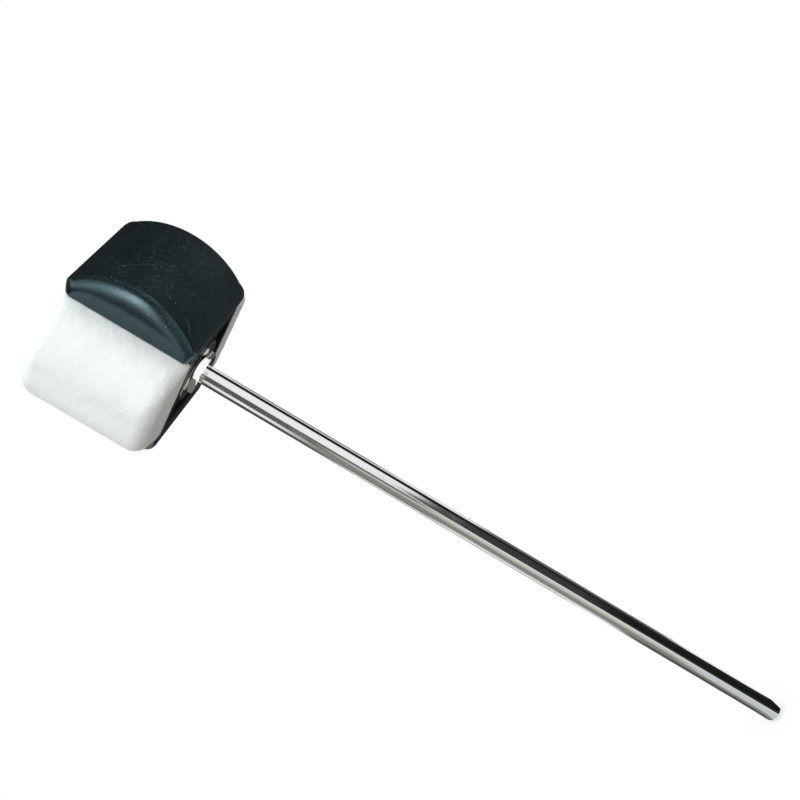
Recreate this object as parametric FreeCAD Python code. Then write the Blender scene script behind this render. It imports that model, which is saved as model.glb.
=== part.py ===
import FreeCAD, Part
import math
import os

# Four-sided bass drum beater: a block head on a slim steel shaft, with a different striking pad on each
# side: crowned rubber, flat felt, flat rubber and crowned felt. A lock nut and a top nut clamp the head.
# Millimetres. +Z runs up the shaft to the head, +X out of the flat felt, +Y out of the crowned rubber.
# The origin is on the shaft's axis at its lower tip.

Vector = FreeCAD.Vector

# Shaft: plain chromed rod below the lock nut, screw thread above it.
shaft_diameter = 6.0
shaft_free_length = 198.4
tip_dome_radius = 8.0
tip_edge_radius = 0.8
tip_bevel_length = 5.8
tip_bevel_depth = 1.6
tip_bevel_bearing = 133.0
thread_diameter = 5.4
thread_end_chamfer = 0.7
thread_past_top_nut = 1.4

# Head core: a moulded block with a dished face at each end and a shallow seat on each side.
# Its width lies between the felts, its depth between the rubbers.
core_width = 31.0
core_depth = 33.0
core_length = 39.0
core_edge_radius = 1.6
dish_rim_width = 3.2
dish_depth = 1.3
dish_corner_radius = 2.0
seat_depth = 1.2
seat_margin = 3.0
nut_well_diameter = 17.0
nut_well_chamfer = 0.6

# Metal sleeve through the core, which turns on the shaft's threaded end.
sleeve_outer_diameter = 10.0
sleeve_edge_chamfer = 0.4

# Rubber pads: one arched along the shaft, one low and flat, both with rounded edges.
rubber_width = 35.0
rubber_crown_height = 13.3
rubber_crown_end_height = 4.2
rubber_crown_edge_radius = 3.0
rubber_flat_height = 7.2
rubber_flat_corner_radius = 3.2
rubber_flat_edge_radius = 3.0

# Felt pads: one a thick flat block with broadly rounded long edges, one arched along the shaft.
felt_flat_width = 32.4
felt_flat_height = 16.8
felt_flat_edge_radius = 13.0
felt_flat_end_radius = 4.8
felt_crown_width = 32.0
felt_crown_height = 13.0
felt_crown_end_height = 6.0
felt_crown_edge_radius = 2.4

# Hexagon nuts and washers. The lock nut is a thin, wide one.
lock_nut_across_flats = 12.0
top_nut_across_flats = 10.0
nut_chamfer_angle = 30.0
lock_nut_flat_bearing = 52.0
top_nut_flat_bearing = 30.0
lock_nut_height = 2.2
top_nut_height = 5.0
lower_washer_diameter = 20.0
lower_washer_thickness = 1.0
upper_washer_diameter = 12.0
upper_washer_thickness = 1.0
spring_washer_diameter = 11.0
spring_washer_thickness = 1.5
spring_washer_slit = 1.2
spring_washer_slit_angle = 20.0
washer_edge_chamfer = 0.15

# Clearances.
thread_play = 0.05
sleeve_play = 0.05
sleeve_seat_play = 0.02
washer_play = 0.25
glue_gap = 0.1
turn_play = 0.05

# Heights along the shaft, from the tip up.
lock_nut_base = shaft_free_length
lower_washer_base = lock_nut_base + lock_nut_height
dish_floor = lower_washer_base + lower_washer_thickness + turn_play
core_base = dish_floor - dish_depth
core_top = core_base + core_length
core_middle = (core_base + core_top) / 2
spring_washer_rise = turn_play + upper_washer_thickness
top_nut_rise = spring_washer_rise + spring_washer_thickness
nut_well_depth = top_nut_rise + top_nut_height + thread_past_top_nut + dish_depth
nut_well_floor = core_top - nut_well_depth
upper_washer_base = nut_well_floor + turn_play
spring_washer_base = nut_well_floor + spring_washer_rise
top_nut_base = nut_well_floor + top_nut_rise
shaft_top = top_nut_base + top_nut_height + thread_past_top_nut

shaft_radius = shaft_diameter / 2
thread_radius = thread_diameter / 2
felt_foot = core_width / 2
rubber_foot = core_depth / 2
felt_seat_width = felt_flat_width - 2 * seat_margin
rubber_seat_width = core_width - 2 * seat_margin
seat_length = core_length - 2 * seat_margin


def cylinder(radius, height, base):
    return Part.makeCylinder(radius, height, Vector(0, 0, base))


def ring(outer_radius, bore_radius, height, base):
    return cylinder(outer_radius, height, base).cut(cylinder(bore_radius, height, base))


def slab(x_size, y_size, z_size):
    # Slab centred on the axis in X and Y, standing on z = 0.
    return Part.makeBox(x_size, y_size, z_size, Vector(-x_size / 2, -y_size / 2, 0))


def rounded_slab(x_size, y_size, z_size, corner_radius):
    plain = slab(x_size, y_size, z_size)
    upright = [edge for edge in plain.Edges if edge.BoundBox.ZLength > z_size / 2]
    return plain.makeFillet(corner_radius, upright)


def circle_edges_at(solid, height, radius):
    # The point-like edge at a dome's pole has no curve, so it is passed over.
    chosen = []
    for edge in solid.Edges:
        if not edge.Degenerated and isinstance(edge.Curve, Part.Circle):
            level = abs(edge.Curve.Center.z - height) < 1e-6
            if level and abs(edge.Curve.Radius - radius) < 1e-6:
                chosen.append(edge)
    return chosen


def make_shaft():
    # Turned outline: domed tip, plain rod, then the slimmer threaded end with its chamfer.
    half_radius = shaft_radius / 2
    dome_rise = tip_dome_radius - math.sqrt(tip_dome_radius ** 2 - shaft_radius ** 2)
    half_rise = tip_dome_radius - math.sqrt(tip_dome_radius ** 2 - half_radius ** 2)
    dome = Part.Arc(Vector(0, 0, 0), Vector(half_radius, 0, half_rise), Vector(shaft_radius, 0, dome_rise))
    corners = [
        Vector(shaft_radius, 0, dome_rise),
        Vector(shaft_radius, 0, shaft_free_length),
        Vector(thread_radius, 0, shaft_free_length),
        Vector(thread_radius, 0, shaft_top - thread_end_chamfer),
        Vector(thread_radius - thread_end_chamfer, 0, shaft_top),
        Vector(0, 0, shaft_top),
        Vector(0, 0, 0),
    ]
    outline = Part.Wire([dome.toShape()] + Part.makePolygon(corners).Edges)
    rod = Part.Face(outline).revolve(Vector(0, 0, 0), Vector(0, 0, 1), 360)
    rod = rod.makeFillet(tip_edge_radius, circle_edges_at(rod, dome_rise, shaft_radius))
    # One side of the cropped tip slopes in: a wedge takes it off.
    reach = shaft_diameter
    outline = [
        Vector(shaft_radius - tip_bevel_depth, -reach, 0),
        Vector(shaft_radius, -reach, tip_bevel_length),
        Vector(shaft_radius + reach, -reach, tip_bevel_length),
        Vector(shaft_radius + reach, -reach, 0),
    ]
    wedge = Part.Face(Part.makePolygon(outline + outline[:1])).extrude(Vector(0, 2 * reach, 0))
    wedge.rotate(Vector(0, 0, 0), Vector(0, 0, 1), tip_bevel_bearing)
    return rod.cut(wedge)


def make_hex_nut(across_flats, height, base, flat_bearing):
    corner_radius = across_flats / math.sqrt(3)
    corners = []
    for step in range(7):
        angle = math.radians(60 * step + 30 + flat_bearing)
        corners.append(Vector(corner_radius * math.cos(angle), corner_radius * math.sin(angle), base))
    body = Part.Face(Part.makePolygon(corners)).extrude(Vector(0, 0, height))
    # Both faces are turned to a cone, which leaves the curved corner cuts of a real nut.
    face_radius = across_flats / 2
    drop = (corner_radius - face_radius) * math.tan(math.radians(nut_chamfer_angle))
    outline = [
        Vector(0, 0, base),
        Vector(face_radius, 0, base),
        Vector(corner_radius, 0, base + drop),
        Vector(corner_radius, 0, base + height - drop),
        Vector(face_radius, 0, base + height),
        Vector(0, 0, base + height),
    ]
    turned = Part.Face(Part.makePolygon(outline + outline[:1]))
    turned = turned.revolve(Vector(0, 0, 0), Vector(0, 0, 1), 360)
    return body.common(turned).cut(cylinder(thread_radius + thread_play, height, base))


def make_washer(diameter, thickness, base):
    disc = ring(diameter / 2, thread_radius + washer_play, thickness, base)
    edges = circle_edges_at(disc, base, diameter / 2)
    edges = edges + circle_edges_at(disc, base + thickness, diameter / 2)
    return disc.makeChamfer(washer_edge_chamfer, edges)


def make_spring_washer():
    band = ring(spring_washer_diameter / 2, thread_radius + washer_play, spring_washer_thickness,
                spring_washer_base)
    height = 3 * spring_washer_thickness
    slit = Part.makeBox(spring_washer_diameter, spring_washer_slit, height,
                        Vector(0, -spring_washer_slit / 2, spring_washer_base - spring_washer_thickness))
    middle = Vector(0, 0, spring_washer_base + spring_washer_thickness / 2)
    slit.rotate(middle, Vector(1, 0, 0), spring_washer_slit_angle)
    return band.cut(slit)


def make_sleeve():
    length = nut_well_floor - dish_floor
    outer = sleeve_outer_diameter / 2
    tube = ring(outer, thread_radius + sleeve_play, length, dish_floor)
    edges = circle_edges_at(tube, dish_floor, outer) + circle_edges_at(tube, nut_well_floor, outer)
    return tube.makeChamfer(sleeve_edge_chamfer, edges)


def make_core():
    corner = Vector(-core_width / 2, -core_depth / 2, core_base)
    core = Part.makeBox(core_width, core_depth, core_length, corner)
    core = core.makeFillet(core_edge_radius, core.Edges)
    dish = rounded_slab(core_width - 2 * dish_rim_width, core_depth - 2 * dish_rim_width, dish_depth,
                        dish_corner_radius)
    lower_dish = dish.translated(Vector(0, 0, core_base))
    upper_dish = dish.translated(Vector(0, 0, core_top - dish_depth))
    core = core.cut(lower_dish).cut(upper_dish)
    well_rim = core_top - dish_depth
    core = core.cut(cylinder(nut_well_diameter / 2, well_rim - nut_well_floor, nut_well_floor))
    core = core.makeChamfer(nut_well_chamfer, circle_edges_at(core, well_rim, nut_well_diameter / 2))
    core = core.cut(cylinder(sleeve_outer_diameter / 2 + sleeve_seat_play, core_length, core_base))
    felt_seat = slab(felt_seat_width, seat_length, seat_depth)
    felt_seat = turned_about_shaft(on_side(felt_seat, felt_foot - seat_depth), 90)
    rubber_seat = slab(rubber_seat_width, seat_length, seat_depth)
    rubber_seat = on_side(rubber_seat, rubber_foot - seat_depth)
    for seat in (felt_seat, rubber_seat):
        core = core.cut(seat).cut(turned_about_shaft(seat, 180))
    return core


def on_side(flat_piece, distance):
    # Stand a flat piece up so that its thickness points along +Y, at this distance from the shaft.
    standing = flat_piece.rotated(Vector(0, 0, 0), Vector(1, 0, 0), -90)
    return standing.translated(Vector(0, distance, core_middle))


def turned_about_shaft(solid, degrees):
    return solid.rotated(Vector(0, 0, 0), Vector(0, 0, 1), degrees)


def seat_tongue(seat_width, foot):
    # Low step on a pad's back that sits in the core's seat, less the glue line.
    tongue = slab(seat_width - 2 * glue_gap, seat_length - 2 * glue_gap, seat_depth - glue_gap)
    return on_side(tongue, foot - seat_depth + glue_gap)


def make_crowned_pad(width, crown_height, end_height, edge_radius, seat_width, foot):
    # The pad's outline, drawn on its side wall, is an arch from end to end of the core.
    side = -width / 2
    low_foot = Vector(side, foot, core_base)
    high_foot = Vector(side, foot, core_top)
    start = Vector(side, foot + end_height, core_base)
    peak = Vector(side, foot + crown_height, core_middle)
    finish = Vector(side, foot + end_height, core_top)
    curves = [
        Part.LineSegment(low_foot, start),
        Part.Arc(start, peak, finish),
        Part.LineSegment(finish, high_foot),
        Part.LineSegment(high_foot, low_foot),
    ]
    outline = Part.Wire([curve.toShape() for curve in curves])
    pad = Part.Face(outline).extrude(Vector(width, 0, 0))
    # Every edge is rounded alike, apart from those that lie on the core.
    rounded = [edge for edge in pad.Edges if edge.BoundBox.YMax > foot + end_height / 4]
    pad = pad.makeFillet(edge_radius, rounded)
    return pad.fuse(seat_tongue(seat_width, foot)).removeSplitter()


def make_flat_pad(width, length, height, corner_radius, edge_radius, seat_width, foot):
    pad = rounded_slab(width, length, height, corner_radius)
    rim = [edge for edge in pad.Edges if edge.BoundBox.ZMin > height / 2]
    pad = on_side(pad.makeFillet(edge_radius, rim), foot)
    return pad.fuse(seat_tongue(seat_width, foot)).removeSplitter()


def make_rolled_pad(width, length, height, edge_radius, end_radius, seat_width, foot):
    # The long upper edges are rounded first, then both ends, apart from the edges that lie on the core.
    pad = slab(width, length, height)
    upper = [edge for edge in pad.Edges if edge.BoundBox.ZMin > height / 2]
    pad = pad.makeFillet(edge_radius, [edge for edge in upper if edge.BoundBox.YLength > length / 2])
    raised = [edge for edge in pad.Edges if edge.BoundBox.ZMax > height / 8]
    pad = pad.makeFillet(end_radius, [edge for edge in raised if edge.BoundBox.YLength < length / 2])
    return on_side(pad, foot).fuse(seat_tongue(seat_width, foot)).removeSplitter()


rubber_crown_pad = make_crowned_pad(rubber_width, rubber_crown_height, rubber_crown_end_height,
                                    rubber_crown_edge_radius, rubber_seat_width, rubber_foot)
rubber_flat_pad = make_flat_pad(rubber_width, core_length, rubber_flat_height, rubber_flat_corner_radius,
                                rubber_flat_edge_radius, rubber_seat_width, rubber_foot)
felt_crown_pad = make_crowned_pad(felt_crown_width, felt_crown_height, felt_crown_end_height,
                                  felt_crown_edge_radius, felt_seat_width, felt_foot)
felt_flat_pad = make_rolled_pad(felt_flat_width, core_length, felt_flat_height, felt_flat_edge_radius,
                                felt_flat_end_radius, felt_seat_width, felt_foot)
nodes = {
    "shaft": make_shaft(),
    "lock_nut": make_hex_nut(lock_nut_across_flats, lock_nut_height, lock_nut_base, lock_nut_flat_bearing),
    "lower_washer": make_washer(lower_washer_diameter, lower_washer_thickness, lower_washer_base),
    "upper_washer": make_washer(upper_washer_diameter, upper_washer_thickness, upper_washer_base),
    "spring_washer": make_spring_washer(),
    "top_nut": make_hex_nut(top_nut_across_flats, top_nut_height, top_nut_base, top_nut_flat_bearing),
    "head_core": make_core(),
    "core_sleeve": make_sleeve(),
    "rubber_crown_pad": rubber_crown_pad,
    "rubber_flat_pad": turned_about_shaft(rubber_flat_pad, 180),
    "felt_flat_pad": turned_about_shaft(felt_flat_pad, -90),
    "felt_crown_pad": turned_about_shaft(felt_crown_pad, 90),
}

os.makedirs("parts", exist_ok=True)
for name, shape in nodes.items():
    shape.exportStep("parts/" + name + ".step")
    box = shape.BoundBox
    print(name, len(shape.Solids), shape.isValid(), round(shape.Volume, 1),
          [round(v, 2) for v in (box.XMin, box.YMin, box.ZMin, box.XMax, box.YMax, box.ZMax)])
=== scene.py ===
import bpy
import math
import numpy as np
from mathutils import Matrix, Vector


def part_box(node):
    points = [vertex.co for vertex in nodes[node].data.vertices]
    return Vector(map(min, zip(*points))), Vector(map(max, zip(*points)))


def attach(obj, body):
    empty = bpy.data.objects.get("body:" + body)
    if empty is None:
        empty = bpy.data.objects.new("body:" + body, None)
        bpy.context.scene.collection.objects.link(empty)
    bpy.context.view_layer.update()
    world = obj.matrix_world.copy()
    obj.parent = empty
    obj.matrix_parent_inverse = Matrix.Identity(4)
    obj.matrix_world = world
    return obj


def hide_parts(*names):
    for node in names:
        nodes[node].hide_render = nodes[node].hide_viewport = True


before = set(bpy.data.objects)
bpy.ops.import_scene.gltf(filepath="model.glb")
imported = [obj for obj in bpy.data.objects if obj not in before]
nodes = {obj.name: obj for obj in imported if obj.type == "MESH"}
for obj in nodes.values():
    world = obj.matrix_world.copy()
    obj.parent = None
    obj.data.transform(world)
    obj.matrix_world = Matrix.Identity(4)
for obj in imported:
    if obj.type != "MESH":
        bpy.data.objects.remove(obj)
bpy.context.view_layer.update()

mm = 0.001
coreLow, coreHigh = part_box("head_core")
headMiddle = (coreLow[2] + coreHigh[2]) / 2
headHalfLength = (coreHigh[2] - coreLow[2]) / 2
print("frame loaded:", len(nodes), "nodes, head from", coreLow[2], "to", coreHigh[2])


# Shader helpers: a material is a Principled shader plus the nodes that feed its sockets.
# In the looks below, a noise is scale, detail, roughness and distortion, a bump is strength and distance,
# and a span is the two values between which a ramp runs.
def newFinish(name, settings):
    material = bpy.data.materials.new(name)
    material.use_nodes = True
    shader = material.node_tree.nodes["Principled BSDF"]
    for socket, value in settings.items():
        shader.inputs[socket].default_value = value
    return material, shader


def addNode(material, kind, inputs=None, **options):
    node = material.node_tree.nodes.new(kind)
    for option, value in options.items():
        setattr(node, option, value)
    for socket, value in (inputs or {}).items():
        if isinstance(value, bpy.types.NodeSocket):
            material.node_tree.links.new(value, node.inputs[socket])
        else:
            node.inputs[socket].default_value = value
    return node


def joinSockets(material, source, target):
    material.node_tree.links.new(source, target)


def objectPlace(material):
    return addNode(material, "ShaderNodeTexCoord").outputs["Object"]


def splitAxes(material, place):
    return addNode(material, "ShaderNodeSeparateXYZ", {"Vector": place}).outputs


def distanceTo(material, place, point):
    node = addNode(material, "ShaderNodeVectorMath", {0: place, 1: point}, operation="DISTANCE")
    return node.outputs["Value"]


def noise(material, place, scale, detail=3.0, roughness=0.5, distortion=0.0):
    node = addNode(material, "ShaderNodeTexNoise", {
        "Vector": place, "Scale": scale, "Detail": detail,
        "Roughness": roughness, "Distortion": distortion})
    return node.outputs["Fac"]


def ramp(material, value, low, high, lowOut=0.0, highOut=1.0):
    node = addNode(material, "ShaderNodeMapRange", {
        "Value": value, "From Min": low, "From Max": high, "To Min": lowOut, "To Max": highOut})
    return node.outputs["Result"]


def maths(material, operation, first, second=0.0):
    node = addNode(material, "ShaderNodeMath", {0: first, 1: second}, operation=operation)
    return node.outputs["Value"]


def product(material, first, second):
    return maths(material, "MULTIPLY", first, second)


def blendColours(material, amount, first, second):
    inputs = {0: amount, 6: first, 7: second}  # the mix node's colour sockets
    return addNode(material, "ShaderNodeMix", inputs, data_type="RGBA").outputs[2]


def bump(material, height, strength, distance, under=None):
    inputs = {"Height": height, "Strength": strength, "Distance": distance}
    if under is not None:
        inputs["Normal"] = under
    return addNode(material, "ShaderNodeBump", inputs).outputs["Normal"]


# Chrome: nearly clear mirror, with fine rubbed lines round the rod and dull handling marks.
chromeLook = {
    "tint": (0.80, 0.81, 0.82, 1),
    "gloss": 0.09,
    "smudged": 0.16,
    "smudgeNoise": (120.0, 4.0),
    "smudgeSpan": (0.5, 0.75),
    "lineNoise": (900.0, 2.0),
    "lineStretch": (1, 1, 6),
    "lineBump": (0.04, 0.02 * mm),
    "threadFrom": 199.0 * mm,
    "threadPitch": 1.0 * mm,
    "threadBump": (1.0, 0.25 * mm),
}


def makeChrome():
    look = chromeLook
    material, shader = newFinish("brightChrome", {"Base Color": look["tint"], "Metallic": 1.0})
    place = objectPlace(material)
    smudges = ramp(material, noise(material, place, *look["smudgeNoise"]), *look["smudgeSpan"])
    joinSockets(material, ramp(material, smudges, 0, 1, look["gloss"], look["smudged"]),
                shader.inputs["Roughness"])
    stretched = addNode(material, "ShaderNodeMapping", {"Vector": place, "Scale": look["lineStretch"]})
    lines = noise(material, stretched.outputs["Vector"], *look["lineNoise"])
    rubbed = bump(material, lines, *look["lineBump"])
    # thread on the upper end: a sine wave of height along the shaft, one pitch per turn
    axes = splitAxes(material, place)
    turn = maths(material, "ARCTAN2", axes["Y"], axes["X"])
    climb = product(material, axes["Z"], 2 * math.pi / look["threadPitch"])
    groove = maths(material, "SINE", maths(material, "SUBTRACT", climb, turn))
    upper = maths(material, "GREATER_THAN", axes["Z"], look["threadFrom"])
    threaded = bump(material, product(material, groove, upper), *look["threadBump"], rubbed)
    joinSockets(material, threaded, shader.inputs["Normal"])
    return material


# Plated steel, turned, so that its lines run in rings round the shaft, in a lit and a shaded copy: paler on
# the nuts, so that a facet glints white, and duller and browner on the washers, which is partly painted
# shade of the core's dish.
# The draft shades a nut's sides as if they leaned out a little up the shaft.
washerLook = {
    "pale": (0.50, 0.475, 0.43, 1), "dull": (0.33, 0.31, 0.275, 1),
    "gloss": 0.18, "matt": 0.30, "draftBump": (1.0, 0.0),
}
nutLook = {
    "pale": (0.93, 0.93, 0.92, 1), "dull": (0.80, 0.79, 0.77, 1),
    "gloss": 0.06, "matt": 0.13, "draftBump": (1.0, 0.12),
}
turnedMarks = {
    "ringNoise": (2500.0, 2.0), "ringBump": (0.05, 0.01 * mm),
    "tarnishNoise": (160.0, 4.0), "tarnishSpan": (0.42, 0.72),
}


def makeSteel(name, look):
    material, shader = newFinish(name, {"Metallic": 1.0})
    place = objectPlace(material)
    axes = splitAxes(material, place)
    across = maths(material, "POWER", axes["X"], 2.0)
    along = maths(material, "POWER", axes["Y"], 2.0)
    radius = maths(material, "SQRT", maths(material, "ADD", across, along))
    rings = addNode(material, "ShaderNodeCombineXYZ", {"X": radius, "Z": axes["Z"]})
    turned = noise(material, rings.outputs["Vector"], *turnedMarks["ringNoise"])
    stain = noise(material, place, *turnedMarks["tarnishNoise"])
    tarnish = ramp(material, stain, *turnedMarks["tarnishSpan"])
    joinSockets(material, blendColours(material, tarnish, look["pale"], look["dull"]),
                shader.inputs["Base Color"])
    joinSockets(material, ramp(material, tarnish, 0, 1, look["gloss"], look["matt"]),
                shader.inputs["Roughness"])
    drafted = bump(material, axes["Z"], *look["draftBump"])
    ringed = bump(material, turned, *turnedMarks["ringBump"], drafted)
    joinSockets(material, ringed, shader.inputs["Normal"])
    return material


# Turned brass of the sleeve inside the core.
brassLook = {
    "tint": (0.72, 0.56, 0.28, 1), "brown": (0.42, 0.30, 0.14, 1),
    "patinaNoise": (300.0, 5.0), "patinaSpan": (0.3, 0.7), "gloss": 0.22, "matt": 0.4,
}


def makeBrass():
    look = brassLook
    material, shader = newFinish("turnedBrass", {"Metallic": 1.0})
    patina = noise(material, objectPlace(material), *look["patinaNoise"])
    joinSockets(material, blendColours(material, patina, look["tint"], look["brown"]),
                shader.inputs["Base Color"])
    joinSockets(material, ramp(material, patina, *look["patinaSpan"], look["gloss"], look["matt"]),
                shader.inputs["Roughness"])
    return material


# Black moulded plastic of the core: satin, faintly orange-peeled, with a little dust.
plasticLook = {
    "black": (0.007, 0.007, 0.0075, 1), "dust": (0.026, 0.025, 0.023, 1),
    "dustNoise": (180.0, 6.0, 0.65), "dustSpan": (0.5, 0.85),
    "gloss": 0.28, "matt": 0.42, "peelNoise": (700.0, 2.0), "peelBump": (0.05, 0.08 * mm),
}


def makePlastic():
    look = plasticLook
    material, shader = newFinish("mouldedBlack", {"Specular IOR Level": 0.5})
    place = objectPlace(material)
    film = ramp(material, noise(material, place, *look["dustNoise"]), *look["dustSpan"])
    joinSockets(material, blendColours(material, film, look["black"], look["dust"]),
                shader.inputs["Base Color"])
    joinSockets(material, ramp(material, film, 0, 1, look["gloss"], look["matt"]),
                shader.inputs["Roughness"])
    peel = noise(material, place, *look["peelNoise"])
    joinSockets(material, bump(material, peel, *look["peelBump"]), shader.inputs["Normal"])
    return material


# Hard black rubber: satin blue-black, dust specks caught in it, and faint scuffs from the drum head.
rubberLook = {
    "black": (0.0032, 0.0066, 0.0078, 1),
    "worn": (0.0060, 0.0105, 0.0118, 1),
    "wearNoise": (90.0, 5.0, 0.6),
    "wearSpan": (0.35, 0.75),
    "specular": 1.0,
    "specularTint": (0.53, 0.88, 1.0, 1),
    "gloss": 0.17,
    "wornGloss": 0.25,
    "rubbed": 0.18,  # added roughness of the struck face, which fades out over the rim's span
    "rimSpan": (15.6 * mm, 16.5 * mm),
    "grainNoise": (1900.0, 3.0),
    "grainBump": (0.10, 0.05 * mm),
    "speck": (0.22, 0.27, 0.28, 1),
    "specksPerMetre": 520.0,
    "speckSize": 0.17,
    "speckChance": (0.40, 0.75),
    "gritNoise": (2300.0, 2.0),
    "gritSpan": (0.57, 0.78),
    "gritTone": 0.34,
    "strikePoint": (0.004, 0.030, 0.2185),  # dust lies where the crown strikes
    "strikeSpan": (6.0 * mm, 24.0 * mm),
    "dustFarOff": 0.2,
    "clumpNoise": (90.0, 3.0),
    "clumpSpan": (0.35, 0.55),
    "dustBetween": 0.4,
    "scuffNoise": (900.0, 3.0),
    "scuffSpan": (0.35, 0.65),
    "scuffLeast": 0.2,
    "scuffWidth": (0.03 * mm, 0.18 * mm),
    "scuffFade": (0.5, 1.2),
    "scuffTone": 0.22,
    "scuffs": (  # centre and radius of the ball whose edge draws it, then centre and reach of its stretch
        ((-0.0090, 0.0081, 0.2332), 0.0273, (0.0072, 0.0290, 0.2263), 0.0066),
        ((0.0092, 0.0250, 0.2192), 0.0125, (-0.0015, 0.0292, 0.2141), 0.0040),
    ),
}


def rubberDust(material, place):
    look = rubberLook
    cells = addNode(material, "ShaderNodeTexVoronoi", {
        "Vector": place, "Scale": look["specksPerMetre"], "Randomness": 1.0})
    chance = addNode(material, "ShaderNodeSeparateColor", {"Color": cells.outputs["Color"]})
    some = ramp(material, chance.outputs["Red"], *look["speckChance"])
    fromStrike = distanceTo(material, place, look["strikePoint"])
    struck = ramp(material, fromStrike, *look["strikeSpan"], 1.0, look["dustFarOff"])
    drift = noise(material, place, *look["clumpNoise"])
    clumps = product(material, struck, ramp(material, drift, *look["clumpSpan"], look["dustBetween"], 1.0))
    spots = ramp(material, cells.outputs["Distance"], 0.0, look["speckSize"])
    spots = maths(material, "SUBTRACT", 1.0, spots)
    specks = product(material, product(material, spots, some), clumps)
    grains = noise(material, place, *look["gritNoise"])
    grit = ramp(material, grains, *look["gritSpan"], 0.0, look["gritTone"])
    return maths(material, "MAXIMUM", specks, product(material, grit, clumps))


def makeRubber():
    look = rubberLook
    material, shader = newFinish("hardRubber", {
        "Specular IOR Level": look["specular"], "Specular Tint": look["specularTint"]})
    place = objectPlace(material)
    wear = ramp(material, noise(material, place, *look["wearNoise"]), *look["wearSpan"])
    ground = blendColours(material, wear, look["black"], look["worn"])
    marks = rubberDust(material, place)
    broken = noise(material, place, *look["scuffNoise"])
    patchy = ramp(material, broken, *look["scuffSpan"], look["scuffLeast"], 1.0)
    fadeFrom, fadeTo = look["scuffFade"]
    for centre, radius, middle, reach in look["scuffs"]:
        fromBall = maths(material, "SUBTRACT", distanceTo(material, place, centre), radius)
        away = maths(material, "ABSOLUTE", fromBall)
        near = distanceTo(material, place, middle)
        stretch = ramp(material, near, fadeFrom * reach, fadeTo * reach, look["scuffTone"], 0.0)
        scuff = product(material, ramp(material, away, *look["scuffWidth"], 1.0, 0.0), patchy)
        marks = maths(material, "MAXIMUM", marks, product(material, scuff, stretch))
    joinSockets(material, blendColours(material, marks, ground, look["speck"]), shader.inputs["Base Color"])
    side = maths(material, "ABSOLUTE", splitAxes(material, place)["X"])
    rubbed = ramp(material, side, *look["rimSpan"], look["rubbed"], 0.0)
    polish = ramp(material, wear, 0, 1, look["gloss"], look["wornGloss"])
    joinSockets(material, maths(material, "ADD", polish, rubbed), shader.inputs["Roughness"])
    grain = noise(material, place, *look["grainNoise"])
    joinSockets(material, bump(material, grain, *look["grainBump"]), shader.inputs["Normal"])
    return material


# Pressed white felt: matt, matted fibres, faint grey soiling, a little sheen at grazing angles.
feltLook = {
    "white": (0.835, 0.872, 0.876, 1),
    "soiled": (0.76, 0.76, 0.735, 1),
    "roughness": 0.95,
    "sheen": 0.03,
    "sheenRoughness": 0.6,
    "matNoise": (620.0, 4.0, 0.6, 1.2),
    "matBump": (0.35, 0.14 * mm),
    "fibreNoise": (2600.0, 3.0, 0.7, 1.8),
    "fibreBump": (0.5, 0.08 * mm),
    "soilNoise": (70.0, 4.0),
    "soilSpan": (0.45, 0.8),
    "fibreSpan": (0.3, 0.7),
}


def makeFelt():
    look = feltLook
    material, shader = newFinish("pressedFelt", {
        "Roughness": look["roughness"], "Specular IOR Level": 0.0,
        "Sheen Weight": look["sheen"], "Sheen Roughness": look["sheenRoughness"]})
    place = objectPlace(material)
    swirl = noise(material, place, *look["matNoise"])
    fibre = noise(material, place, *look["fibreNoise"])
    patches = ramp(material, noise(material, place, *look["soilNoise"]), *look["soilSpan"])
    soil = product(material, patches, ramp(material, fibre, *look["fibreSpan"]))
    joinSockets(material, blendColours(material, soil, look["white"], look["soiled"]),
                shader.inputs["Base Color"])
    soft = bump(material, swirl, *look["matBump"])
    joinSockets(material, bump(material, fibre, *look["fibreBump"], soft), shader.inputs["Normal"])
    return material


# Two copies of one steel: the washers' darker copy is partly painted shade, and the nuts' paler copy makes
# their facets glint white.
washerSteel = makeSteel("washerSteelShaded", washerLook)
nutSteel = makeSteel("nutSteelLit", nutLook)
rubber = makeRubber()
felt = makeFelt()
nodeFinish = {
    "shaft": makeChrome(),
    "lock_nut": nutSteel,
    "lower_washer": washerSteel,
    "upper_washer": washerSteel,
    "spring_washer": washerSteel,
    "top_nut": nutSteel,
    "head_core": makePlastic(),
    "core_sleeve": makeBrass(),
    "rubber_crown_pad": rubber,
    "rubber_flat_pad": rubber,
    "felt_flat_pad": felt,
    "felt_crown_pad": felt,
}
for nodeName, finish in nodeFinish.items():
    mesh = nodes[nodeName].data
    mesh.materials.clear()
    mesh.materials.append(finish)
print("finishes made:", len(set(nodeFinish.values())))


# Closed surface from a grid of rings: rows run from the low pole to the high pole, columns run round.
def ringSurface(name, rings, lowPole, highPole, finish):
    rows, columns = rings.shape[:2]
    points = np.vstack([rings.reshape(-1, 3), lowPole, highPole])
    here = np.arange(columns)
    after = (here + 1) % columns
    start = (np.arange(rows - 1) * columns)[:, None]
    quads = np.stack([start + here, start + after, start + columns + after, start + columns + here], -1)
    lowFan = np.stack([np.full(columns, rows * columns), after, here], -1)
    last = (rows - 1) * columns
    highFan = np.stack([np.full(columns, rows * columns + 1), last + here, last + after], -1)
    faces = quads.reshape(-1, 4).tolist() + lowFan.tolist() + highFan.tolist()
    mesh = bpy.data.meshes.new(name)
    mesh.from_pydata(points.tolist(), [], faces)
    mesh.polygons.foreach_set("use_smooth", np.ones(len(mesh.polygons), dtype=bool))
    mesh.materials.append(finish)
    mesh.update()
    piece = bpy.data.objects.new(name, mesh)
    bpy.context.scene.collection.objects.link(piece)
    return piece


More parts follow.
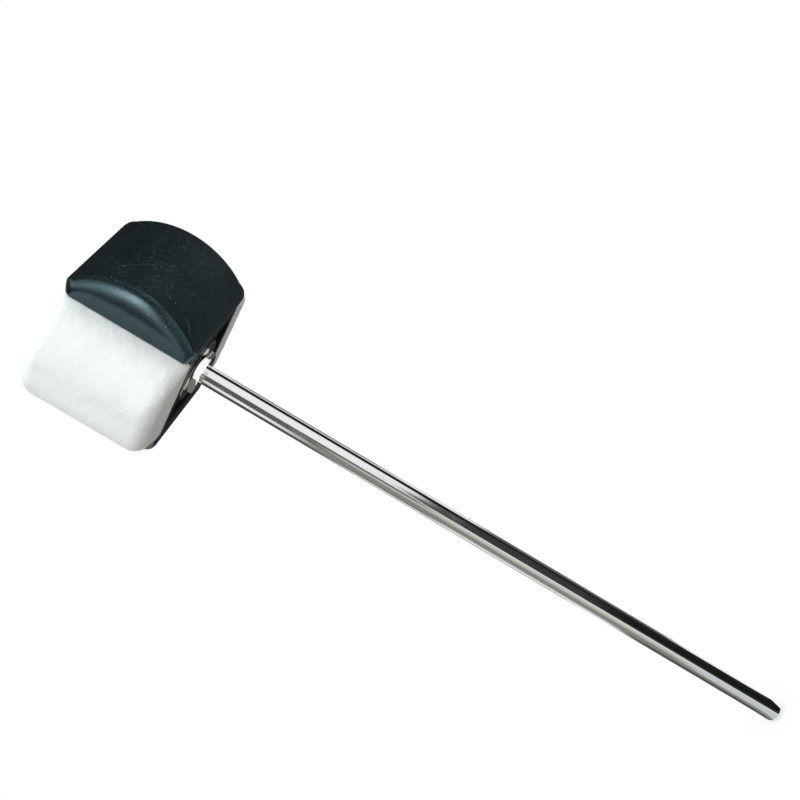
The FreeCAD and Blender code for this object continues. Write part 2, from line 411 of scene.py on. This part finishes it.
# Rounded rectangle: four quarter circles of the corner radius joined by straight runs.
# Returns points and outward normals, the same count of points on each corner and run.
def roundedOutline(halfWidth, halfLength, corner, cornerSteps, widthSteps, lengthSteps):
    signs = np.array([(1, 1), (-1, 1), (-1, -1), (1, -1)])
    centres = signs * np.array([halfWidth - corner, halfLength - corner])
    points, normals = [], []
    for quarter, runSteps in enumerate((widthSteps, lengthSteps, widthSteps, lengthSteps)):
        angle = (quarter + np.linspace(0, 1, cornerSteps)) * math.pi / 2
        outward = np.stack([np.cos(angle), np.sin(angle)], -1)
        arc = centres[quarter] + corner * outward
        goal = centres[(quarter + 1) % 4] + corner * outward[-1]
        share = np.linspace(0, 1, runSteps + 2)[1:-1, None]
        points += [arc, arc[-1] * (1 - share) + goal * share]
        normals += [outward, np.repeat(outward[-1:], runSteps, axis=0)]
    return np.vstack(points), np.vstack(normals)


# Smooth lumps: a sum of sine waves in seeded random directions, about -1 to 1.
lumpWaves = {"count": 24, "spread": (0.7, 1.5)}  # waves, and how their lengths vary


def lumps(points, wavelength, seed):
    waves = lumpWaves["count"]
    chance = np.random.default_rng(seed)
    direction = chance.normal(size=(waves, 3))
    direction /= np.linalg.norm(direction, axis=1, keepdims=True)
    pitch = 2 * math.pi / (wavelength * chance.uniform(*lumpWaves["spread"], waves))
    phase = chance.uniform(0, 2 * math.pi, waves)
    return np.sin(points @ (direction * pitch[:, None]).T + phase).sum(-1) / math.sqrt(waves)


# Small unevenness of a pad, pushed out along the grid's own normals: broad lumps plus weaker, finer ones.
fineLumps = {"share": 0.45, "times": 3}  # of the broad lumps' height, and how many times as fine


def padRoughness(rings, pad):
    if pad["lump"] == 0:
        return np.zeros_like(rings)
    ringwise = np.roll(rings, -1, axis=1) - np.roll(rings, 1, axis=1)
    normal = np.cross(ringwise, np.gradient(rings, axis=0))
    normal /= np.maximum(np.linalg.norm(normal, axis=-1, keepdims=True), 1e-12)
    amount = pad["lump"] * lumps(rings, pad["lumpSize"], pad["seed"])
    fineSize = pad["lumpSize"] / fineLumps["times"]
    amount += fineLumps["share"] * pad["lump"] * lumps(rings, fineSize, pad["seed"] + 1)
    return normal * amount[..., None]


# Roughen a pad, its back apart, and put it on its side of the core.
smoothBack = 1.0 * mm  # height over which the roughness grows to its full size


def placePad(name, pad, rings, lowPole, highPole, finish):
    share = np.clip(rings[..., 2:] / smoothBack, 0, 1)
    rings = rings + padRoughness(rings, pad) * share
    outward = np.array([math.cos(pad["bearing"]), math.sin(pad["bearing"]), 0])
    tangent = np.array([-math.sin(pad["bearing"]), math.cos(pad["bearing"]), 0])
    axes = np.array([tangent, (0, 0, 1), outward])
    start = outward * pad["foot"] + np.array([0, 0, headMiddle])
    low, high = np.array([lowPole, highPole]) @ axes + start
    piece = ringSurface(name, rings @ axes + start, low, high, finish)
    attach(piece, "head")
    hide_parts(pad["node"])
    print("pad made:", name, len(piece.data.polygons), "faces")
    return piece


# Pad on one side of the core. Rows: over the flat base, up the wall, round the edge, in over the face.
# The face's height is an arch along the shaft less a small dome across it:
# h - (R - sqrt(R^2 - w^2)) - d (u/a)^2.
# The edge is part of an ellipse from the upright wall to the face, as high as its rise. The rise equals
# the edge's width, or along the sides a share of the face's height plus a lift where that is more.
padGrid = {
    "baseFrom": 0.04, "baseRows": 8, "settleRounds": 12,
    "rimAtMost": 0.9,  # of the face's height
    "flatRadius": 1000.0,  # metres, for a face with no arch
}


def padSurface(name, pad, finish):
    bulge = pad["bulge"]
    halfWidth, halfLength = pad["halfWidth"], headHalfLength + pad["overhang"]
    baseOutline, normals = roundedOutline(halfWidth, halfLength, pad["baseCorner"], *pad["steps"])
    faceOutline, _ = roundedOutline(
        halfWidth + bulge, halfLength + bulge + pad["endBulge"], pad["faceCorner"] + bulge, *pad["steps"])
    archRadius = padGrid["flatRadius"]
    if pad["archRise"] > 0:
        archRadius = (halfLength ** 2 + pad["archRise"] ** 2) / (2 * pad["archRise"])

    def faceHeight(across, along):
        arch = archRadius - np.sqrt(archRadius ** 2 - along ** 2)
        return pad["height"] - arch - pad["dome"] * (across / halfWidth) ** 2

    edge = pad["edge"] * normals[:, 0] ** 2 + pad["endEdge"] * normals[:, 1] ** 2
    sweep = np.full(len(normals), math.pi / 2)
    for _ in range(padGrid["settleRounds"]):  # find where the edge runs into the face with the same slope
        across, along = (faceOutline - normals * (edge * (1 - np.cos(sweep)))[:, None]).T
        top = faceHeight(across, along)
        sideRise = np.minimum(pad["edgeRise"] * top + pad["edgeLift"], padGrid["rimAtMost"] * top)
        rise = np.maximum(edge, sideRise * normals[:, 0] ** 2)
        slope = along * normals[:, 1] / np.sqrt(archRadius ** 2 - along ** 2)
        slope += 2 * pad["dome"] * across * normals[:, 0] / halfWidth ** 2
        sweep = math.pi / 2 - np.arctan(slope * edge / rise)
    hub = top - rise * np.sin(sweep)  # height of the ellipse's centre
    rows = []
    for share in np.linspace(padGrid["baseFrom"], 1, padGrid["baseRows"]):  # base
        rows.append(np.column_stack([baseOutline * share, np.zeros(len(baseOutline))]))
    for share in np.linspace(0, 1, pad["wallRows"] + 1)[1:]:  # wall, upright where the edge starts
        lean = 1 - (1 - share) ** 2
        rows.append(np.column_stack([baseOutline * (1 - lean) + faceOutline * lean, hub * share]))
    for share in np.linspace(0, 1, pad["edgeRows"] + 1)[1:]:  # edge
        inset = edge * (1 - np.cos(share * sweep))
        height = hub + rise * np.sin(share * sweep)
        rows.append(np.column_stack([faceOutline - normals * inset[:, None], height]))
    rim = rows[-1]
    for share in np.linspace(1, 0, pad["faceRows"] + 1)[1:-1]:  # face
        inner = rim[:, :2] * share
        rows.append(np.column_stack([inner, faceHeight(inner[:, 0], inner[:, 1])]))
    return placePad(name, pad, np.array(rows), (0, 0, 0), (0, 0, pad["height"]), finish)


# Felt block: its cross-section, a flat back, two walls and a face with broad quarter-circle edges, is
# carried along the shaft. Towards each end it shrinks by e (1 - cos t) while the end goes out by e sin t.
# The glued foot shrinks sideways by a share of that, so the ends are squarer there.
def rolledPad(name, pad, finish):
    halfWidth, height, edge, endEdge = pad["halfWidth"], pad["height"], pad["edge"], pad["endEdge"]
    wallSteps, edgeSteps, faceSteps, backSteps = pad["steps"]
    wall = np.linspace(0, height - edge, wallSteps, endpoint=False)
    angle = np.linspace(0, math.pi / 2, edgeSteps)
    flat = np.linspace(0, 1, faceSteps + 2)[1:-1] * (halfWidth - edge)
    back = np.linspace(halfWidth, -halfWidth, backSteps + 2)[1:-1]
    # half of the section, from the foot of the wall to the middle of the face, with its outward directions
    rounded = halfWidth - edge + edge * np.cos(angle)
    across = np.concatenate([np.full(wallSteps, halfWidth), rounded, flat[::-1], [0]])
    out = np.concatenate([wall, height - edge + edge * np.sin(angle), np.full(faceSteps + 1, height)])
    sideways = np.concatenate([np.ones(wallSteps), np.cos(angle), np.zeros(faceSteps + 1)])
    sideways *= np.interp(out, (0, pad["heldTo"]), (pad["held"], 1))
    upwards = np.concatenate([np.zeros(wallSteps), np.sin(angle), np.ones(faceSteps + 1)])
    mirrored = slice(-2, None, -1)
    section = np.stack([np.concatenate([-across, across[mirrored], back]),
                        np.concatenate([out, out[mirrored], np.zeros(backSteps)])], -1)
    inward = np.stack([np.concatenate([-sideways, sideways[mirrored], pad["held"] * back / halfWidth]),
                       np.concatenate([upwards, upwards[mirrored], np.zeros(backSteps)])], -1)
    turn = np.linspace(math.pi / 2, 0, pad["endRows"])
    middle = np.linspace(-1, 1, pad["middleRows"] + 2)[1:-1] * (headHalfLength - endEdge)
    along = np.concatenate([endEdge - headHalfLength - endEdge * np.sin(turn), middle,
                            headHalfLength - endEdge + endEdge * np.sin(turn[::-1])])
    endInset = endEdge * (1 - np.cos(turn))
    inset = np.concatenate([endInset, np.zeros(len(middle)), endInset[::-1]])
    rings = section[None] - inward[None] * inset[:, None, None]
    centre = np.array([0, (height - endEdge) / 2])
    shares = np.linspace(pad["capFrom"], 1, pad["capRows"], endpoint=False)[:, None, None]
    cap = centre + (rings[0] - centre) * shares  # the section at an end, shrunk to its middle
    rings = np.concatenate([cap, rings, cap[::-1]])
    along = np.concatenate([np.full(len(cap), -headHalfLength), along, np.full(len(cap), headHalfLength)])
    along = np.repeat(along[:, None], rings.shape[1], axis=1)
    rings = np.stack([rings[..., 0], along, rings[..., 1]], -1)
    low = (0, -headHalfLength, centre[1])
    high = (0, headHalfLength, centre[1])
    return placePad(name, pad, rings, low, high, finish)


rubberFoot = coreHigh[1]
feltFoot = coreHigh[0]
plainRim = {"edgeRise": 0.0, "edgeLift": 0.0, "endBulge": 0.0}  # a circular edge and upright ends
rubberCrown = {
    "node": "rubber_crown_pad", "slot": "rubber", "bearing": math.pi / 2, "foot": rubberFoot,
    "halfWidth": 17.5 * mm, "height": 13.3 * mm, "archRise": 9.1 * mm, "dome": 0.0,
    "edge": 2.2 * mm, "edgeRise": 0.43, "edgeLift": 2.5 * mm, "endEdge": 1.8 * mm,
    "overhang": -0.1 * mm, "bulge": 0.0, "endBulge": 0.5 * mm,
    "baseCorner": 2.6 * mm, "faceCorner": 2.8 * mm, "lump": 0.0,
    "steps": (9, 40, 48), "wallRows": 10, "edgeRows": 16, "faceRows": 40,
}
rubberFlat = {
    "node": "rubber_flat_pad", "slot": "rubber", "bearing": -math.pi / 2, "foot": rubberFoot,
    "halfWidth": 17.5 * mm, "height": 7.2 * mm, "archRise": 0.0, "dome": 0.0,
    "edge": 3.0 * mm, "endEdge": 3.0 * mm, "overhang": 0.0, "bulge": 0.0, **plainRim,
    "baseCorner": 2.0 * mm, "faceCorner": 3.2 * mm, "lump": 0.0,
    "steps": (11, 40, 48), "wallRows": 12, "edgeRows": 12, "faceRows": 36,
}
feltFlat = {
    "node": "felt_flat_pad", "slot": "felt", "bearing": 0.0, "foot": feltFoot,
    "halfWidth": 16.2 * mm, "height": 16.8 * mm, "edge": 13.0 * mm, "endEdge": 4.5 * mm,
    "held": 0.25, "heldTo": 8.0 * mm, "lump": 0.05 * mm, "lumpSize": 5.0 * mm, "seed": 11,
    "steps": (12, 66, 10, 24), "endRows": 28, "middleRows": 110, "capRows": 20, "capFrom": 0.06,
}
feltCrown = {
    "node": "felt_crown_pad", "slot": "felt", "bearing": math.pi, "foot": feltFoot,
    "halfWidth": 16.0 * mm, "height": 13.0 * mm, "archRise": 7.0 * mm, "dome": 0.3 * mm,
    "edge": 2.6 * mm, "endEdge": 1.9 * mm, "overhang": 0.0, "bulge": 0.4 * mm, **plainRim,
    "baseCorner": 2.0 * mm, "faceCorner": 2.6 * mm, "lump": 0.05 * mm, "lumpSize": 5.0 * mm, "seed": 17,
    "steps": (17, 70, 90), "wallRows": 34, "edgeRows": 22, "faceRows": 60,
}
padSurface("rubberCrown", rubberCrown, rubber)
padSurface("rubberFlat", rubberFlat, rubber)
feltFlatPiece = rolledPad("feltFlat", feltFlat, felt)
feltCrownPiece = padSurface("feltCrown", feltCrown, felt)


# Camera at the photograph's place, rolled so that the shaft runs down to the right.
cameraView = {
    "place": (0.224672, 0.222656, 0.162496),
    "right": (-0.300078, 0.418747, -0.857090),
    "up": (-0.579446, 0.633719, 0.512487),
    "lens": 48.6,
    "sensor": 36.0,
    "clip": (0.01, 20.0),
}
cameraRight = Vector(cameraView["right"]).normalized()
cameraUp = Vector(cameraView["up"]).normalized()
cameraBack = cameraRight.cross(cameraUp).normalized()
cameraData = bpy.data.cameras.new("photoCamera")
cameraData.lens = cameraView["lens"]
cameraData.sensor_width = cameraView["sensor"]
cameraData.clip_start, cameraData.clip_end = cameraView["clip"]
camera = bpy.data.objects.new("photoCamera", cameraData)
cameraTurn = Matrix((cameraRight, cameraUp, cameraBack)).transposed().to_4x4()
camera.matrix_world = Matrix.Translation(Vector(cameraView["place"])) @ cameraTurn
bpy.context.scene.collection.objects.link(camera)
bpy.context.scene.camera = camera
print("camera placed at", cameraView["place"])


# Stage: pale floor and white surroundings, as the camera and the chrome see them.
white = (1, 1, 1, 1)
floorLook = {"size": 6.0, "glow": 0.63, "seen": (0.36, 0.36, 0.36, 1), "bounce": (0.34, 0.326, 0.298, 1)}
worldLook = {"light": (0.97, 0.99, 1.0, 1), "strength": 0.92}


def cameraOrMirror(material):
    path = addNode(material, "ShaderNodeLightPath")
    seen = maths(material, "MAXIMUM", path.outputs["Is Camera Ray"], path.outputs["Is Glossy Ray"])
    return maths(material, "MAXIMUM", seen, path.outputs["Is Transmission Ray"])


def clearNodes(owner, outputKind):
    owner.use_nodes = True
    owner.node_tree.nodes.clear()
    return addNode(owner, outputKind).inputs["Surface"]


# Open sheet of quads over a grid of points.
def stageSheet(name, grid, material):
    rows, columns = grid.shape[:2]
    start = np.arange((rows - 1) * columns).reshape(rows - 1, columns)[:, :-1]
    faces = np.stack([start, start + 1, start + columns + 1, start + columns], -1).reshape(-1, 4)
    mesh = bpy.data.meshes.new(name)
    mesh.from_pydata(grid.reshape(-1, 3).tolist(), [], faces.tolist())
    mesh.materials.append(material)
    sheet = bpy.data.objects.new(name, mesh)
    bpy.context.scene.collection.objects.link(sheet)
    return sheet


def makeFloor():
    material = bpy.data.materials.new("paleFloor")
    surface = clearNodes(material, "ShaderNodeOutputMaterial")
    bounce = addNode(material, "ShaderNodeBsdfDiffuse", {"Color": floorLook["bounce"]})
    lit = addNode(material, "ShaderNodeBsdfDiffuse", {"Color": floorLook["seen"]})
    glow = addNode(material, "ShaderNodeEmission", {"Color": white, "Strength": floorLook["glow"]})
    seen = addNode(material, "ShaderNodeAddShader", {0: lit.outputs[0], 1: glow.outputs[0]})
    mix = addNode(material, "ShaderNodeMixShader", {
        0: cameraOrMirror(material), 1: bounce.outputs[0], 2: seen.outputs[0]})
    joinSockets(material, mix.outputs[0], surface)
    edge = np.array([-0.5, 0.5]) * floorLook["size"]
    across, along = np.meshgrid(edge, edge)
    stageSheet("floor", np.stack([across, along, np.zeros((2, 2))], -1), material)


def makeWorld():
    world = bpy.data.worlds.new("studioWorld")
    bpy.context.scene.world = world
    surface = clearNodes(world, "ShaderNodeOutputWorld")
    lit = addNode(world, "ShaderNodeBackground", {
        "Color": worldLook["light"], "Strength": worldLook["strength"]})
    seen = addNode(world, "ShaderNodeBackground", {"Color": white, "Strength": 1.0})
    mix = addNode(world, "ShaderNodeMixShader", {
        0: cameraOrMirror(world), 1: lit.outputs[0], 2: seen.outputs[0]})
    joinSockets(world, mix.outputs[0], surface)


# Painted reflections: a reflector tent that only mirror-like surfaces see, as a studio hangs round chrome:
# a ring of floor, an upright wall and a canopy, white apart from soft-edged dark, grey and bright cards.
# Its glowing cards paint the dark bands, the beige table and the shade that the chrome, the nut and the
# rubber reflect.
# Places on its profile: 0 to 1 along the floor by radius, 1 to 2 up the wall, 2 to 3 over the canopy.
tent = {
    "innerRadius": 0.004, "wallRadius": 1.5, "topShare": 0.12,
    "floorHeight": 0.001, "wallHeight": 1.5, "topHeight": 2.1,
    "bearings": 241, "places": 181, "placeBlur": 0.06, "lowerBy": 0.05,
}
# Each card is a painted reflection: a patch of shade, table or highlight for the mirror-like surfaces.
cardSet = {  # bearings in degrees, lowest and highest place on the profile, colour, softness in degrees
    "leftFlag": (112, 152, 0.0, 3.0, (0.014, 0.015, 0.015), 6),
    "overhead": (146, 250, 1.34, 3.0, (0.04, 0.04, 0.04), 8),
    "farFloor": (146, 200, 0.30, 0.62, (0.14, 0.14, 0.135), 8),
    "frontFloor": (44, 118, 0.0, 0.84, (0.040, 0.042, 0.040), 9),
    "frontStep": (44, 76, 0.78, 0.93, (0.055, 0.055, 0.052), 9),
    "frontFoot": (60, 116, 0.0, 0.36, (0.012, 0.012, 0.012), 12),
    "rightTable": (-46, 36, 0.0, 1.12, (0.66, 0.65, 0.585), 10),
    "rightShade": (-60, 4, 0.0, 1.12, (0.27, 0.265, 0.225), 40),
    "rightTip": (-16, 34, 0.0, 0.22, (0.62, 0.68, 0.68), 24),
    "rightLine": (20, 38, 0.86, 1.40, (0.10, 0.10, 0.09), 8),
    "rightWall": (-18, 34, 1.14, 1.40, (0.10, 0.10, 0.092), 12),
    "rightBack": (-100, -57, 1.12, 1.50, (0.08, 0.08, 0.065), 8),
    "rightFoot": (-96, -48, 0.0, 0.32, (0.09, 0.09, 0.07), 10),
    "behind": (196, 262, 0.45, 1.30, (0.03, 0.03, 0.03), 6),
    "frontHigh": (2, 150, 1.35, 3.0, (0.05, 0.052, 0.052), 10),
    "rightHigh": (-100, -28, 1.30, 3.0, (0.02, 0.021, 0.021), 6),
    # Painted shade for the nut's side facets: these two cards darken what those facets reflect.
    "nutFoot": (-74, -53, 0.80, 1.12, (0.20, 0.20, 0.175), 6),
    "nutShade": (168, 190, 1.06, 1.22, (0.10, 0.10, 0.085), 5),
    # Painted highlight: these two strips glow brighter than white so that a highlight runs along the rubber
    # crown's ridge.
    "stripHigh": (-21, -9, 1.42, 1.75, (2.05, 1.95, 2.0), 7),
    "stripLight": (-21, -4, 1.34, 1.43, (8.0, 7.3, 7.4), 8),
}


def softStep(value, edge, width):  # smooth step from 0 to 1 about an edge
    share = np.clip((value - edge) / width + 0.5, 0, 1)
    return share * share * (3 - 2 * share)


# Each card covers the ones before it, by a soft step at each of its four edges.
def paintCards(bearing, place):
    colour = np.ones((len(place), len(bearing), 4))
    blur = tent["placeBlur"]
    for first, last, low, high, tone, softness in cardSet.values():
        middle = (first + last) / 2
        around = (bearing - middle + 180) % 360 - 180 + middle  # bearings counted from the card's middle
        across = softStep(around, first, softness) * (1 - softStep(around, last, softness))
        upward = softStep(place, low - tent["lowerBy"], blur) * (1 - softStep(place, high, blur))
        cover = (upward[:, None] * across[None, :])[..., None]
        colour[..., :3] = colour[..., :3] * (1 - cover) + np.array(tone) * cover
    return colour


def makeTent():
    bearing = np.linspace(-180, 180, tent["bearings"])
    place = np.linspace(0, 3, tent["places"])
    # radius grows with the square of the place on the floor, stays up the wall and shrinks over the canopy
    radius = np.interp(place, (1, 2, 3), (1, 1, tent["topShare"])) * tent["wallRadius"]
    onFloor = place < 1
    radius[onFloor] = tent["innerRadius"] + (tent["wallRadius"] - tent["innerRadius"]) * place[onFloor] ** 2
    heights = (tent["floorHeight"], tent["floorHeight"], tent["wallHeight"], tent["topHeight"])
    height = np.interp(place, (0, 1, 2, 3), heights)
    angle = np.radians(bearing)
    grid = np.stack([radius[:, None] * np.cos(angle), radius[:, None] * np.sin(angle),
                     np.repeat(height[:, None], len(angle), axis=1)], -1)
    material = bpy.data.materials.new("paintedReflections")
    surface = clearNodes(material, "ShaderNodeOutputMaterial")
    paint = addNode(material, "ShaderNodeAttribute", attribute_name="paintedReflectionColour")
    glow = addNode(material, "ShaderNodeEmission", {"Color": paint.outputs["Color"], "Strength": 1.0})
    joinSockets(material, glow.outputs[0], surface)
    sheet = stageSheet("paintedReflectionTent", grid, material)
    layer = sheet.data.attributes.new("paintedReflectionColour", "FLOAT_COLOR", "POINT")
    layer.data.foreach_set("color", paintCards(bearing, place).reshape(-1).astype(np.float32))
    sheet.visible_camera = False
    sheet.visible_diffuse = False
    sheet.visible_transmission = False
    sheet.visible_shadow = False


# One broad soft lamp: its direction from the head, and its spread in degrees.
keyLamp = {"direction": (0.63, 0.74, 0.17), "spread": 90.0, "strength": 2.2, "tint": (0.98, 1.0, 1.0)}


def makeLamp():
    lampData = bpy.data.lights.new("key", "SUN")
    lampData.angle = math.radians(keyLamp["spread"])
    lampData.energy = keyLamp["strength"]
    lampData.color = keyLamp["tint"]
    lamp = bpy.data.objects.new("key", lampData)
    towards = Vector(keyLamp["direction"]).normalized()
    lamp.location = Vector((0, 0, headMiddle)) + towards
    lamp.rotation_mode = "QUATERNION"
    lamp.rotation_quaternion = towards.to_track_quat("Z", "Y")
    bpy.context.scene.collection.objects.link(lamp)


makeFloor()
makeWorld()
makeTent()
makeLamp()
print("stage set: floor, world, key lamp and a tent with", len(cardSet), "cards")

bpy.context.scene.view_settings.view_transform = "Standard"
